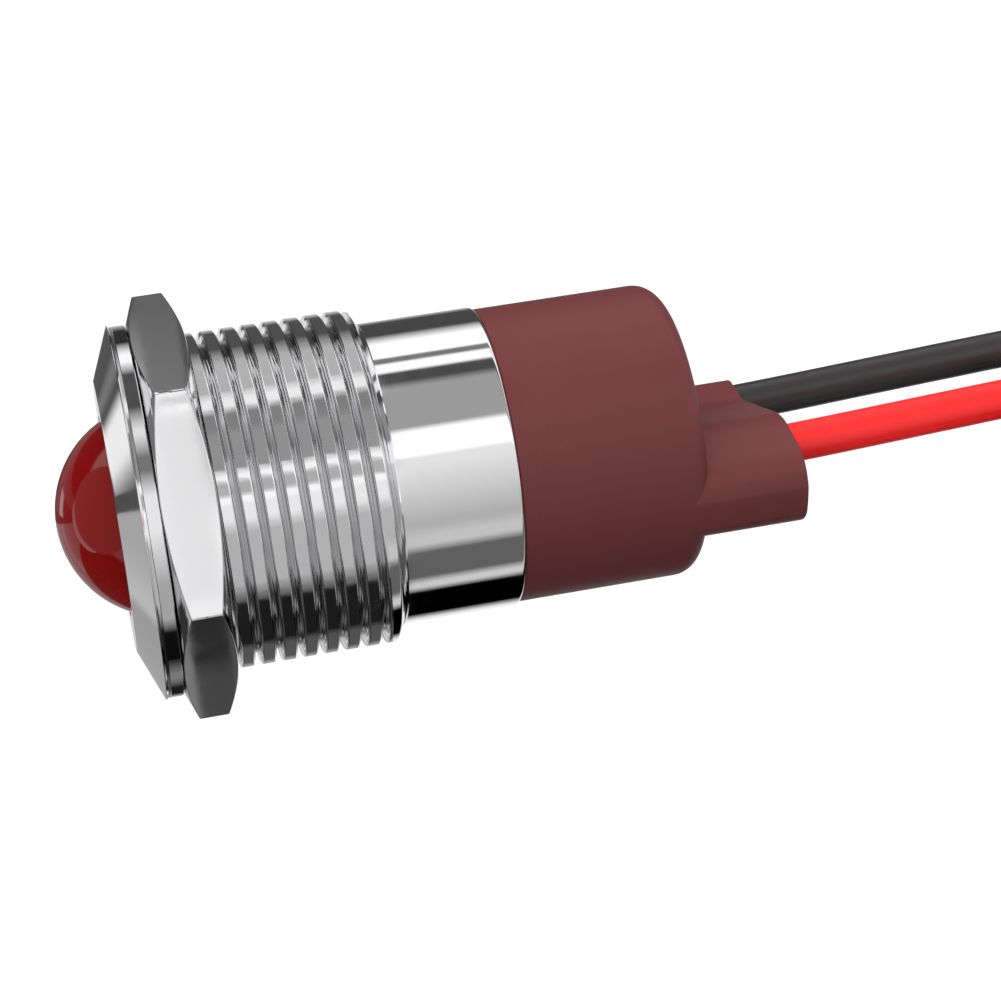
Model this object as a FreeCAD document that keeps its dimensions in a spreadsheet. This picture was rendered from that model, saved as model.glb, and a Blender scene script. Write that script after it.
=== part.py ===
"""Panel pilot light: a turned, threaded body with a red dome lens, a clamping nut and two flying leads.

The light's axis lies along Y with the dome towards -Y, the leads towards +Y and +Z up.
The origin is the centre of the flange's rear face, which is the face that seats on the panel.
"""

import FreeCAD, Part
import math
import os
import re

import Sketcher

os.makedirs("parts", exist_ok=True)
doc = FreeCAD.newDocument("PanelPilotLight")

# Driving sizes in millimetres. Stations along the axis are measured from the panel seat.
SIZES = {
    # turned body
    "thread_radius": 8.0,
    "thread_depth": 0.6,
    "thread_end": 11.4,
    "thread_bevel": 0.5,
    "relief_length": 1.2,
    "relief_depth": 0.1,
    "flange_width": 0.92,
    "flange_rim": 0.2,
    "bezel_face": 1.2,
    "bezel_land": 1.4,
    "lip": 0.4,
    "barrel_step": 0.77,
    "barrel_round": 0.2,
    "spigot_step": 0.83,
    "spigot_length": 7.0,
    "spigot_wall": 0.6,
    # lens and its seal
    "dome_centre": 1.15,
    "lens_wall": 1.0,
    "lens_gap": 0.1,
    "lens_step": 0.6,
    "lens_seat": 2.0,
    "lens_flange": 1.0,
    "seal_width": 1.0,
    # washer and nut
    "seat_gap": 0.02,
    "washer_inset": 0.1,
    "washer_thickness": 0.6,
    "washer_gap": 0.1,
    "washer_bevel": 0.08,
    "nut_inset": 0.17,
    "nut_corner_trim": 0.03,
    "nut_face_inset": 0.1,
    "nut_bevel": 0.57,
    "nut_thickness": 2.55,
    "nut_mouth": 0.4,
    "thread_gap": 0.06,
    # lamp, its holder and legs
    "lamp_radius": 2.5,
    "lamp_tip": 1.0,
    "lamp_length": 8.6,
    "collar_width": 0.4,
    "collar_length": 1.0,
    "fit_gap": 0.05,
    "leg_width": 0.5,
    "leg_spacing": 2.54,
    "wire_stub": 0.6,
    # board, parts on it and insulation
    "board_gap": 0.8,
    "board_thickness": 1.0,
    "board_hole": 0.6,
    "sleeve_wall": 0.4,
    "resistor_radius": 1.15,
    "resistor_waist": 0.95,
    "resistor_cap": 1.4,
    "resistor_slope": 0.7,
    "resistor_bevel": 0.3,
    "resistor_length": 6.3,
    "resistor_standoff": 2.0,
    "resistor_leg_radius": 0.25,
    "resistor_tail": 1.5,
    "diode_length": 3.5,
    "diode_width": 1.6,
    "diode_height": 1.1,
    "diode_inset": 2.1,
    "solder_radius": 0.9,
    "solder_tip_radius": 0.62,
    "solder_height": 0.7,
    "splice_radius": 0.75,
    "splice_length": 1.6,
    "plug_length": 3.5,
    "plug_gap": 0.5,
    # rear boot and its flattened spout
    "boot_wall": 0.7,
    "boot_length": 9.0,
    "boot_round": 1.2,
    "spout_length": 4.6,
    "spout_cover": 0.32,
    "spout_roof": 0.44,
    "spout_swell": 2.65,
    "spout_ridge": 5.35,
    "spout_neck_side": 3.4,
    "spout_neck": 0.8,
    "spout_shoulder_side": 3.5,
    "spout_shoulder": 0.22,
    "spout_cheek": 2.35,
    "spout_bottom": 5.32,
    "spout_keel": 1.0,
    "spout_round": 1.6,
    "spout_far_round": 0.95,
    "spout_shoulder_round": 4.4,
    "spout_neck_round": 2.0,
    "spout_edge": 0.12,
    # flying leads, their coils and ends
    "lead_radius": 0.95,
    "wire_radius": 0.5,
    "strip_length": 2.4,
    "black_inner_side": -3.0,
    "black_side": -5.6,
    "black_height": 0.53,
    "red_side": 2.5,
    "red_height": -1.82,
    "lead_rise": 0.04,
    "coil_station": 58.5,
    "coil_radius": 10.4,
    "coil_turns": 2.25,
    "coil_pitch": 1.95,
    "lead_length": 200.0,
    "tip_length": 6.0,
    "tie_width": 2.5,
    "tie_wall": 0.5,
    "tie_gap": 0.05,
    "tie_slack": 0.4,
}

# Stations and radii that several pieces share, worked out from the driving sizes.
SHARED = {
    "root_radius": "thread_radius - thread_depth",
    "barrel_radius": "thread_radius - barrel_step",
    "spigot_radius": "barrel_radius - spigot_step",
    "bore_radius": "spigot_radius - spigot_wall",
    "lens_radius": "bore_radius - lens_gap",
    "dome_radius": "lens_radius - lens_step",
    "sleeve_radius": "bore_radius - fit_gap",
    "flange_radius": "thread_radius + flange_width",
    "bezel_face_radius": "dome_radius + bezel_land",
    "opening_radius": "sqrt(dome_radius ^ 2 - (dome_centre + bezel_face - lip) ^ 2) + fit_gap",
    "washer_radius": "flange_radius - washer_inset",
    "nut_flats": "2 * (flange_radius - nut_inset)",
    "nut_turned_radius": "nut_flats / sqrt(3) - nut_corner_trim",
    "nut_face_radius": "nut_flats / 2 - nut_face_inset",
    "washer_end": "seat_gap + washer_thickness",
    "nut_start": "washer_end + seat_gap",
    "nut_end": "nut_start + nut_thickness",
    "collar_radius": "lamp_radius + collar_width",
    "seal_start": "lens_seat + lens_flange",
    "holder_start": "seal_start + seal_width",
    "lamp_base": "lamp_length - lamp_tip",
    "board_radius": "sleeve_radius - sleeve_wall - fit_gap",
    "board_start": "lamp_base + board_gap",
    "board_end": "board_start + board_thickness",
    "diode_offset": "board_radius - diode_inset",
    "resistor_start": "board_end + resistor_standoff",
    "resistor_end": "resistor_start + resistor_length",
    "splice_station": "resistor_end + resistor_tail",
    "plug_start": "splice_station + splice_length / 2 + plug_gap",
    "spigot_end": "plug_start + plug_length",
    "barrel_end": "spigot_end - spigot_length",
    "boot_radius": "spigot_radius + boot_wall",
    "boot_end": "barrel_end + boot_length",
    "spout_end": "boot_end + spout_length",
    "spout_far": "lead_radius + spout_cover - black_side",
    "spout_far_bottom": "lead_radius + spout_cover - black_height",
    "spout_top": "black_height + lead_radius + spout_roof",
    "spout_near": "red_side + lead_radius + spout_swell",
    "black_start": "board_end + strip_length",
    "red_start": "splice_station + strip_length",
    "black_coil_height": "black_height + lead_rise * (coil_station - boot_end)",
    "red_coil_height": "red_height + lead_rise * (coil_station - boot_end)",
}

sheet = doc.addObject("Spreadsheet::Sheet", "Sizes")
cells = {alias: str(value) for alias, value in SIZES.items()}
cells.update({alias: "=" + formula for alias, formula in SHARED.items()})
for row, (alias, content) in enumerate(cells.items(), start=1):
    sheet.set(f"A{row}", alias)
    sheet.set(f"B{row}", content)
    sheet.setAlias(f"B{row}", alias)
doc.recompute()


def linked(formula):
    """The formula with each size's name turned into a link to the sheet."""

    def link(word):
        return f"Sizes.{word[0]}" if word[0] in cells else word[0]

    return re.sub(r"[a-z_]+", link, formula)


def measure(formula):
    """The formula's present value in millimetres."""
    value = sheet.evalExpression(formula)
    return float(getattr(value, "Value", value))


def bind(thing, place, formula):
    thing.setExpression(place, linked(formula))


def new_body(label):
    body = doc.addObject("PartDesign::Body", label)
    body.Label = label
    return body


def new_sketch(body, name, role, station=None):
    """A sketch on one of the body's own origin planes, moved along the plane's normal if a station is given."""
    sketch = body.newObject("Sketcher::SketchObject", name)
    plane = next(one for one in body.Origin.OriginFeatures if one.Role == role)
    sketch.AttachmentSupport = [(plane, "")]
    sketch.MapMode = "FlatFace"
    if station:
        bind(sketch, "AttachmentOffset.Base.z", station)
    return sketch


def hold_value(sketch, kind, formula, *places):
    """A dimension of the sketch, bound to a formula."""
    index = sketch.addConstraint(Sketcher.Constraint(kind, *places, measure(formula)))
    bind(sketch, f"Constraints[{index}]", formula)


def hold_across(sketch, geometry, point, formula):
    if formula == "0":
        sketch.addConstraint(Sketcher.Constraint("PointOnObject", geometry, point, -2))
    else:
        hold_value(sketch, "DistanceX", formula, -1, 1, geometry, point)


def hold_up(sketch, geometry, point, formula):
    if formula == "0":
        sketch.addConstraint(Sketcher.Constraint("PointOnObject", geometry, point, -1))
    else:
        hold_value(sketch, "DistanceY", formula, -1, 1, geometry, point)


def draw_side(sketch, start, end, centre):
    """One side of an outline, straight or an arc about a centre, with its start and end point numbers."""
    if centre is None:
        return sketch.addGeometry(Part.LineSegment(start, end)), 1, 2
    radius = (start - centre).Length
    first = math.atan2(start.y - centre.y, start.x - centre.x)
    last = math.atan2(end.y - centre.y, end.x - centre.x)
    circle = Part.Circle(centre, FreeCAD.Vector(0, 0, 1), radius)
    if (last - first) % (2 * math.pi) < math.pi:
        return sketch.addGeometry(Part.ArcOfCircle(circle, first, last)), 1, 2
    return sketch.addGeometry(Part.ArcOfCircle(circle, last, first)), 2, 1


def draw_outline(sketch, corners, arcs=None):
    """A closed outline through corners given by two formulas each; arcs gives the centres of round sides."""
    arcs = arcs or {}
    spots = [FreeCAD.Vector(measure(across), measure(up), 0) for across, up in corners]
    sides = []
    for number, (start, end) in enumerate(zip(spots, spots[1:] + spots[:1])):
        centre = arcs.get(number)
        middle = centre and FreeCAD.Vector(measure(centre[0]), measure(centre[1]), 0)
        sides.append(draw_side(sketch, start, end, middle))
    for side, following in zip(sides, sides[1:] + sides[:1]):
        sketch.addConstraint(Sketcher.Constraint("Coincident", side[0], side[2], following[0], following[1]))
    for number, (across, up) in enumerate(corners):
        geometry, point, _ = sides[number]
        after_arc = (number - 1) % len(corners) in arcs
        if not after_arc or across == "0":
            hold_across(sketch, geometry, point, across)
        if not after_arc or across != "0":
            hold_up(sketch, geometry, point, up)
    for number, (across, up) in arcs.items():
        hold_across(sketch, sides[number][0], 3, across)
        hold_up(sketch, sides[number][0], 3, up)


def draw_circle(sketch, radius, across="0", up="0"):
    centre = FreeCAD.Vector(measure(across), measure(up), 0)
    ring = sketch.addGeometry(Part.Circle(centre, FreeCAD.Vector(0, 0, 1), measure(radius)))
    hold_across(sketch, ring, 3, across)
    hold_up(sketch, ring, 3, up)
    hold_value(sketch, "Radius", radius, ring)


def spin(body, name, corners, arcs=None):
    """Material turned about the light's axis from a half section of (radius, station) corners."""
    sketch = new_sketch(body, name + "_section", "XY_Plane")
    draw_outline(sketch, corners, arcs)
    turned = body.newObject("PartDesign::Revolution", name)
    turned.Profile = sketch
    turned.ReferenceAxis = (sketch, ["V_Axis"])
    turned.Angle = 360
    doc.recompute()
    return turned


def must_cut(thing, before, name):
    """Recomputes the document and makes sure that the last cut took something off."""
    doc.recompute()
    if thing.Shape.Volume >= before:
        raise RuntimeError(f"{name} cut nothing")


def turn_away(body, name, corners):
    """Material cut away about the light's axis by a half section."""
    before = body.Shape.Volume
    sketch = new_sketch(body, name + "_section", "XY_Plane")
    draw_outline(sketch, corners)
    groove = body.newObject("PartDesign::Groove", name)
    groove.Profile = sketch
    groove.ReferenceAxis = (sketch, ["V_Axis"])
    groove.Angle = 360
    must_cut(body, before, name)
    return groove


def grow(body, name, sketch, length, reverse):
    """Material grown from a sketch by a length."""
    pad = body.newObject("PartDesign::Pad", name)
    pad.Profile = sketch
    pad.Reversed = reverse
    bind(pad, "Length", length)
    doc.recompute()
    return pad


def bore_through(body, name, sketch):
    """A cut right through the body, both ways from a sketch."""
    before = body.Shape.Volume
    pocket = body.newObject("PartDesign::Pocket", name)
    pocket.Profile = sketch
    pocket.Type = "ThroughAll"
    pocket.Midplane = True
    must_cut(body, before, name)
    return pocket


def dress_edges(body, name, kind, chosen, size):
    """A fillet or chamfer on the edges of the body that the test picks."""
    base = body.Tip
    edges = [f"Edge{n}" for n, edge in enumerate(base.Shape.Edges, start=1) if chosen(edge)]
    if not edges:
        raise RuntimeError(f"{name} found no edge")
    dressing = body.newObject(f"PartDesign::{kind}", name)
    dressing.Base = (base, edges)
    bind(dressing, "Radius" if kind == "Fillet" else "Size", size)
    doc.recompute()
    return dressing


CLOSE = 0.01


def level(edge, station):
    """Whether both ends and the middle of an edge lie in one plane across the axis."""
    first, last = edge.ParameterRange
    spots = [edge.valueAt(first), edge.valueAt((first + last) / 2), edge.valueAt(last)]
    return all(abs(spot.y - measure(station)) < CLOSE for spot in spots)


def on_ring(radius, station):
    """A test for a round edge about the light's axis."""

    def chosen(edge):
        reach = math.hypot(edge.valueAt(0).x, edge.valueAt(0).z)
        return level(edge, station) and abs(reach - measure(radius)) < CLOSE

    return chosen


def on_corner(across, up):
    """A test for a straight edge along Y through one point of the XZ plane."""

    def chosen(edge):
        spots = [edge.valueAt(parameter) for parameter in edge.ParameterRange]
        return all(
            abs(spot.x - measure(across)) < CLOSE and abs(spot.z - measure(up)) < CLOSE for spot in spots
        )

    return chosen


def at_station(station):
    """A test for an edge that lies wholly in one plane across the axis."""

    def chosen(edge):
        return level(edge, station)

    return chosen


ALONG_Y = FreeCAD.Rotation(FreeCAD.Vector(1, 0, 0), -90)
DOWNWARD = FreeCAD.Rotation(FreeCAD.Vector(1, 0, 0), 180)


def put(thing, across, station, up, turn):
    """Places a primitive by three formulas and a turn."""
    thing.Placement = FreeCAD.Placement(FreeCAD.Vector(), turn)
    bind(thing, "Placement.Base.x", across)
    bind(thing, "Placement.Base.y", station)
    bind(thing, "Placement.Base.z", up)


def rod(label, radius, length, across, station, up, turn=ALONG_Y):
    """A round rod from a station, grown towards +Y unless it is turned otherwise."""
    cylinder = doc.addObject("Part::Cylinder", label)
    cylinder.Label = label
    bind(cylinder, "Radius", radius)
    bind(cylinder, "Height", length)
    put(cylinder, across, station, up, turn)
    return cylinder


def block(label, width, length, height, across, station, up):
    """A box centred on its width and height, grown towards +Y from a station."""
    box = doc.addObject("Part::Box", label)
    box.Label = label
    bind(box, "Length", width)
    bind(box, "Width", length)
    bind(box, "Height", height)
    put(box, f"{across} - ({width}) / 2", station, f"{up} - ({height}) / 2", FreeCAD.Rotation())
    return box


def joined(name, things):
    """Several shapes taken together, for use as a tool or as one group."""
    group = doc.addObject("Part::MultiFuse", name)
    group.Shapes = things
    doc.recompute()
    return group


def less(label, base, tool):
    """The base without the tool."""
    rest = doc.addObject("Part::Cut", label)
    rest.Label = label
    rest.Base = base
    rest.Tool = tool
    must_cut(rest, base.Shape.Volume, label)
    return rest


def rounded_route(points):
    """A path of straight runs joined by tangent arcs, through a cord's chosen points."""
    edges = []
    radii = []
    start = points[0]
    for before, corner, after in zip(points, points[1:], points[2:]):
        inward = (before - corner).normalize()
        outward = (after - corner).normalize()
        half_turn = (math.pi - inward.getAngle(outward)) / 2
        shorter = min((before - corner).Length, (after - corner).Length)
        reach = 0.45 * shorter
        radius = reach / math.tan(half_turn)
        radii.append(round(radius, 1))
        first = corner + inward * reach
        last = corner + outward * reach
        middle_way = (inward + outward).normalize()
        middle = corner + middle_way * (radius / math.cos(half_turn) - radius)
        edges.append(Part.LineSegment(start, first).toShape())
        edges.append(Part.Arc(first, middle, last).toShape())
        start = last
    edges.append(Part.LineSegment(start, points[-1]).toShape())
    return Part.Wire(edges), radii


def lead_tube(label, points):
    """A lead's insulated stretch as a round tube along its route."""
    route, radii = rounded_route(points)
    heading = (points[1] - points[0]).normalize()
    ring = Part.Wire(Part.Circle(points[0], heading, measure("lead_radius")).toShape())
    tube = doc.addObject("Part::Feature", label)
    tube.Label = label
    tube.Shape = route.makePipeShell([ring], True, True)
    tube.Placement = FreeCAD.Placement()
    section = math.pi * measure("lead_radius") ** 2
    print(label, "bend radii", radii, "volume share", round(tube.Shape.Volume / (section * route.Length), 4))
    return tube


# Housing: one turned brass piece, plated, with the bezel, flange, thread, barrel and spigot.
housing = new_body("housing")
spin(
    housing,
    "housing_turned",
    [
        ("opening_radius", "-bezel_face"),
        ("bezel_face_radius", "-bezel_face"),
        ("flange_radius", "-flange_rim"),
        ("flange_radius", "0"),
        ("root_radius - relief_depth", "0"),
        ("root_radius - relief_depth", "relief_length"),
        ("thread_radius", "relief_length"),
        ("thread_radius", "thread_end - thread_bevel"),
        ("barrel_radius", "thread_end"),
        ("barrel_radius", "barrel_end"),
        ("spigot_radius", "barrel_end"),
        ("spigot_radius", "spigot_end"),
        ("bore_radius", "spigot_end"),
        ("bore_radius", "lens_seat"),
        ("dome_radius + lens_gap", "lens_seat"),
        ("dome_radius + lens_gap", "lip - bezel_face"),
        ("opening_radius", "lip - bezel_face"),
    ],
)
dress_edges(housing, "barrel_rounding", "Fillet", on_ring("barrel_radius", "barrel_end"), "barrel_round")


# Lens: one red moulding, a hollow dome on a skirt with a flange that seats on the housing's step.
lens = new_body("lens")
spin(
    lens,
    "lens_moulding",
    [
        ("0", "dome_centre - dome_radius"),
        ("dome_radius", "dome_centre"),
        ("dome_radius", "lens_seat"),
        ("lens_radius", "lens_seat"),
        ("lens_radius", "seal_start"),
        ("dome_radius - lens_wall", "seal_start"),
        ("dome_radius - lens_wall", "dome_centre"),
        ("0", "dome_centre - dome_radius + lens_wall"),
    ],
    {0: ("0", "dome_centre"), 6: ("0", "dome_centre")},
)

# Lens seal: a rubber ring squeezed between the lens flange and the lamp holder.
lens_seal = new_body("lens_seal")
spin(
    lens_seal,
    "seal_ring",
    [
        ("sleeve_radius - seal_width", "seal_start"),
        ("sleeve_radius", "seal_start"),
        ("sleeve_radius", "holder_start"),
        ("sleeve_radius - seal_width", "holder_start"),
    ],
)

# Panel washer: a plain plated ring, loose on the thread between the flange and the nut.
panel_washer = new_body("panel_washer")
spin(
    panel_washer,
    "washer_ring",
    [
        ("thread_radius + washer_gap", "seat_gap"),
        ("washer_radius", "seat_gap"),
        ("washer_radius", "washer_end"),
        ("thread_radius + washer_gap", "washer_end"),
    ],
)
for station in ("seat_gap", "washer_end"):
    dress_edges(panel_washer, f"bevel_at_{station}", "Chamfer", on_ring("washer_radius", station), "washer_bevel")

# Panel nut: a thin hexagon nut, its corners turned down and bevelled on both faces.
panel_nut = new_body("panel_nut")
hexagon = new_sketch(panel_nut, "hexagon", "XZ_Plane", "-nut_start")
HALF_FLATS = "nut_flats / 2"
SIDE_CORNER = "nut_flats / (2 * sqrt(3))"
END_CORNER = "nut_flats / sqrt(3)"
draw_outline(
    hexagon,
    [
        ("0", END_CORNER),
        (HALF_FLATS, SIDE_CORNER),
        (HALF_FLATS, f"-{SIDE_CORNER}"),
        ("0", f"-{END_CORNER}"),
        (f"-{HALF_FLATS}", f"-{SIDE_CORNER}"),
        (f"-{HALF_FLATS}", SIDE_CORNER),
    ],
)
grow(panel_nut, "nut_blank", hexagon, "nut_thickness", True)
turn_away(
    panel_nut,
    "nut_turning",
    [
        ("nut_face_radius", "nut_start"),
        ("nut_turned_radius", "nut_start + nut_bevel"),
        ("nut_turned_radius", "nut_end - nut_bevel"),
        ("nut_face_radius", "nut_end"),
        ("nut_flats", "nut_end"),
        ("nut_flats", "nut_start"),
    ],
)
nut_bore = new_sketch(panel_nut, "nut_bore_ring", "XZ_Plane", "-nut_start")
draw_circle(nut_bore, "thread_radius + thread_gap")
bore_through(panel_nut, "nut_bore", nut_bore)
for station in ("nut_start", "nut_end"):
    mouth = on_ring("thread_radius + thread_gap", station)
    dress_edges(panel_nut, f"mouth_at_{station}", "Chamfer", mouth, "nut_mouth")

# Lamp: a moulded light-emitting diode with a round nose and a collar at its base.
lamp = new_body("lamp")
spin(
    lamp,
    "lamp_moulding",
    [
        ("0", "-lamp_tip"),
        ("lamp_radius", "lamp_radius - lamp_tip"),
        ("lamp_radius", "lamp_base - collar_length"),
        ("collar_radius", "lamp_base - collar_length"),
        ("collar_radius", "lamp_base"),
        ("0", "lamp_base"),
    ],
    {0: ("0", "lamp_radius - lamp_tip")},
)

# Lamp holder: a black moulded ring that centres the lamp and takes its collar in a recess.
lamp_holder = new_body("lamp_holder")
spin(
    lamp_holder,
    "holder_ring",
    [
        ("lamp_radius + fit_gap", "holder_start"),
        ("sleeve_radius", "holder_start"),
        ("sleeve_radius", "lamp_base"),
        ("collar_radius + fit_gap", "lamp_base"),
        ("collar_radius + fit_gap", "lamp_base - collar_length"),
        ("lamp_radius + fit_gap", "lamp_base - collar_length"),
    ],
)

# Lamp legs: two square tinned wires from the lamp's base through the board.
LEG_LENGTH = "board_end - lamp_base + wire_stub"
legs = []
for label, side in (("lamp_anode_leg", "leg_spacing / 2"), ("lamp_cathode_leg", "-leg_spacing / 2")):
    legs.append(block(label, "leg_width", LEG_LENGTH, "leg_width", "0", "lamp_base", side))

# Insulating sleeve: a thin tube that lines the body between the lamp holder and the potting.
insulating_sleeve = new_body("insulating_sleeve")
spin(
    insulating_sleeve,
    "sleeve_tube",
    [
        ("sleeve_radius - sleeve_wall", "lamp_base"),
        ("sleeve_radius", "lamp_base"),
        ("sleeve_radius", "plug_start"),
        ("sleeve_radius - sleeve_wall", "plug_start"),
    ],
)

# Circuit board: a round board in the sleeve, drilled for the lamp legs, the resistor and the black wire.
circuit_board = new_body("circuit_board")
board_face = new_sketch(circuit_board, "board_face", "XZ_Plane", "-board_start")
draw_circle(board_face, "board_radius")
grow(circuit_board, "board_disc", board_face, "board_thickness", True)
drilling = new_sketch(circuit_board, "board_drilling", "XZ_Plane", "-board_start")
HOLES = (
    ("0", "leg_spacing / 2"),
    ("0", "-leg_spacing / 2"),
    ("red_side", "red_height"),
    ("black_inner_side", "black_height"),
)
for across, up in HOLES:
    draw_circle(drilling, "board_hole", across, up)
bore_through(circuit_board, "board_holes", drilling)

# Series resistor: a waisted ceramic body on its two wires, standing on the board.
series_resistor = new_body("series_resistor")
spin(
    series_resistor,
    "resistor_coating",
    [
        ("0", "resistor_start"),
        ("resistor_radius", "resistor_start"),
        ("resistor_radius", "resistor_start + resistor_cap"),
        ("resistor_waist", "resistor_start + resistor_cap + resistor_slope"),
        ("resistor_waist", "resistor_end - resistor_cap - resistor_slope"),
        ("resistor_radius", "resistor_end - resistor_cap"),
        ("resistor_radius", "resistor_end"),
        ("0", "resistor_end"),
    ],
)
for station in ("resistor_start", "resistor_end"):
    rim = on_ring("resistor_radius", station)
    dress_edges(series_resistor, f"bevel_at_{station}", "Chamfer", rim, "resistor_bevel")
bind(series_resistor, "Placement.Base.x", "red_side")
bind(series_resistor, "Placement.Base.z", "red_height")
FRONT_LEG = "wire_stub + board_thickness + resistor_standoff"
resistor_front_leg = rod(
    "resistor_front_leg",
    "resistor_leg_radius",
    FRONT_LEG,
    "red_side",
    "board_start - wire_stub",
    "red_height",
)
resistor_rear_leg = rod(
    "resistor_rear_leg", "resistor_leg_radius", "resistor_tail", "red_side", "resistor_end", "red_height"
)

# Reverse diode: a small flat block on the board's rear face.
reverse_diode = block(
    "reverse_diode", "diode_length", "diode_height", "diode_width", "0", "board_end", "diode_offset"
)

# Stripped inner wires: the black one runs through the board and the red one meets the resistor.
black_wire = rod(
    "black_wire",
    "wire_radius",
    "black_start - board_start + wire_stub",
    "black_inner_side",
    "board_start - wire_stub",
    "black_height",
)
red_wire = rod("red_wire", "wire_radius", "strip_length", "red_side", "splice_station", "red_height")

# Solder joints: a cone round each wire on the board and one sleeve of solder on the red splice.
mounds = []
for across, up in HOLES:
    mound = doc.addObject("Part::Cone", "solder_mound")
    bind(mound, "Radius1", "solder_radius")
    bind(mound, "Radius2", "solder_tip_radius")
    bind(mound, "Height", "solder_height")
    put(mound, across, "board_end", up, ALONG_Y)
    mounds.append(mound)
mounds.append(
    rod(
        "solder_splice",
        "splice_radius",
        "splice_length",
        "red_side",
        "splice_station - splice_length / 2",
        "red_height",
    )
)
doc.recompute()
soldered_wires = joined("soldered_wires", legs + [resistor_front_leg, resistor_rear_leg, black_wire, red_wire])
solder_joints = less("solder_joints", joined("solder_mounds", mounds), soldered_wires)

# Flying leads: each runs out of the body and the spout, then straight back to its put-away coil.
coil_station = measure("coil_station")
lead_rise = measure("lead_rise")
PLUG_BEND = 18.5
SPOUT_BEND = 27.8
MIDWAY = 42.0
SWAY = 0.1


def lead_points(inner_points, side, height):
    """A lead's route: its inner points, then out of the spout and back to where its coil starts."""
    spout = measure("boot_end")
    outer = [(side + SWAY, MIDWAY), (side, coil_station)]
    rising = [FreeCAD.Vector(x, y, height + lead_rise * (y - spout)) for x, y in outer]
    return inner_points + rising


black_side = measure("black_side")
black_height = measure("black_height")
black_points = lead_points(
    [
        FreeCAD.Vector(measure("black_inner_side"), measure("black_start"), black_height),
        FreeCAD.Vector(measure("black_inner_side"), PLUG_BEND, black_height),
        FreeCAD.Vector(black_side, SPOUT_BEND, black_height),
    ],
    black_side,
    black_height,
)
red_side = measure("red_side")
red_height = measure("red_height")
red_points = lead_points(
    [
        FreeCAD.Vector(red_side, measure("red_start"), red_height),
        FreeCAD.Vector(red_side, SPOUT_BEND, red_height),
    ],
    red_side,
    red_height,
)
black_lead = lead_tube("black_lead", black_points)
red_lead = lead_tube("red_lead", red_points)
lead_pair = joined("lead_pair", [black_lead, red_lead])

# Potting plug: resin that closes the body's rear bore round both leads.
plug_form = new_body("plug_form")
spin(
    plug_form,
    "plug_disc",
    [("0", "plug_start"), ("bore_radius", "plug_start"), ("bore_radius", "spigot_end"), ("0", "spigot_end")],
)
plug_cores = joined("plug_cores", [lead_pair, red_wire])
potting_plug = less("potting_plug", plug_form, plug_cores)

# Rear boot: one shrunk sleeve on the body's spigot, flattened behind into a spout round the leads.
# The spout stays inside the sleeve's own round, so its lower side runs on from the sleeve's.
boot_form = new_body("boot_form")
spin(
    boot_form,
    "boot_shell",
    [
        ("spigot_radius", "barrel_end"),
        ("boot_radius", "barrel_end"),
        ("boot_radius", "boot_end"),
        ("0", "boot_end"),
        ("0", "spigot_end"),
        ("spigot_radius", "spigot_end"),
    ],
)
dress_edges(boot_form, "boot_rounding", "Fillet", on_ring("boot_radius", "boot_end"), "boot_round")
spout_form = new_body("spout_form")
spout_face = new_sketch(spout_form, "spout_face", "XZ_Plane", "boot_round - boot_end")
SPOUT = (
    ("-spout_far", "spout_top", "spout_far_round"),
    ("-spout_ridge", "spout_top", "spout_far_round"),
    ("-spout_neck_side", "spout_neck", "spout_neck_round"),
    ("spout_shoulder_side", "-spout_shoulder", "spout_shoulder_round"),
    ("spout_near", "-spout_cheek", "spout_round"),
    ("spout_near", "-spout_bottom", "spout_round"),
    ("spout_keel", "-spout_bottom", "spout_round"),
    ("-spout_far", "-spout_far_bottom", "spout_far_round"),
)
draw_outline(spout_face, [(across, up) for across, up, _ in SPOUT])
grow(spout_form, "spout", spout_face, "boot_round + spout_length", True)
for number, (across, up, radius) in enumerate(SPOUT, start=1):
    dress_edges(spout_form, f"spout_rounding_{number}", "Fillet", on_corner(across, up), radius)
turn_away(
    spout_form,
    "spout_trim",
    [
        ("boot_radius", "spigot_end"),
        ("2 * boot_radius", "spigot_end"),
        ("2 * boot_radius", "spout_end + spout_edge"),
        ("boot_radius", "spout_end + spout_edge"),
    ],
)
dress_edges(spout_form, "spout_edge_rounding", "Fillet", at_station("spout_end"), "spout_edge")
rear_boot = less("rear_boot", joined("boot_and_spout", [boot_form, spout_form]), lead_pair)


def lead_end(colour, side, height):
    """The coil's solid, the hanging end beyond it and its stripped tip, for one lead."""
    width = "coil_turns * coil_pitch + 2 * lead_radius"
    form = new_body(f"{colour}_coil_form")
    ring = new_sketch(form, f"{colour}_coil_ring", "YZ_Plane", f"{side} - lead_radius")
    centre = ("coil_station", f"{height} - coil_radius")
    draw_circle(ring, "coil_radius + lead_radius", *centre)
    draw_circle(ring, "coil_radius - lead_radius", *centre)
    grow(form, f"{colour}_coil_pad", ring, width, False)
    wound = "2 * pi * coil_turns * coil_radius"
    hanging = f"lead_length - (coil_station - spout_end) - {wound} - tip_length"
    across = f"{side} + coil_turns * coil_pitch"
    rear = "coil_station + coil_radius"
    middle = f"{height} - coil_radius"
    end = rod(f"{colour}_lead_end", "lead_radius", hanging, across, rear, middle, DOWNWARD)
    tip = rod(f"{colour}_lead_tip", "wire_radius", "tip_length", across, rear, f"{middle} - ({hanging})", DOWNWARD)
    tubes = joined(f"{colour}_coil_cores", [doc.getObject(f"{colour}_lead"), end])
    return less(f"{colour}_lead_coil", form, tubes), end, tip


black_lead_coil, black_lead_end, black_lead_tip = lead_end("black", "black_side", "black_coil_height")
red_lead_coil, red_lead_end, red_lead_tip = lead_end("red", "red_side", "red_coil_height")

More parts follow.
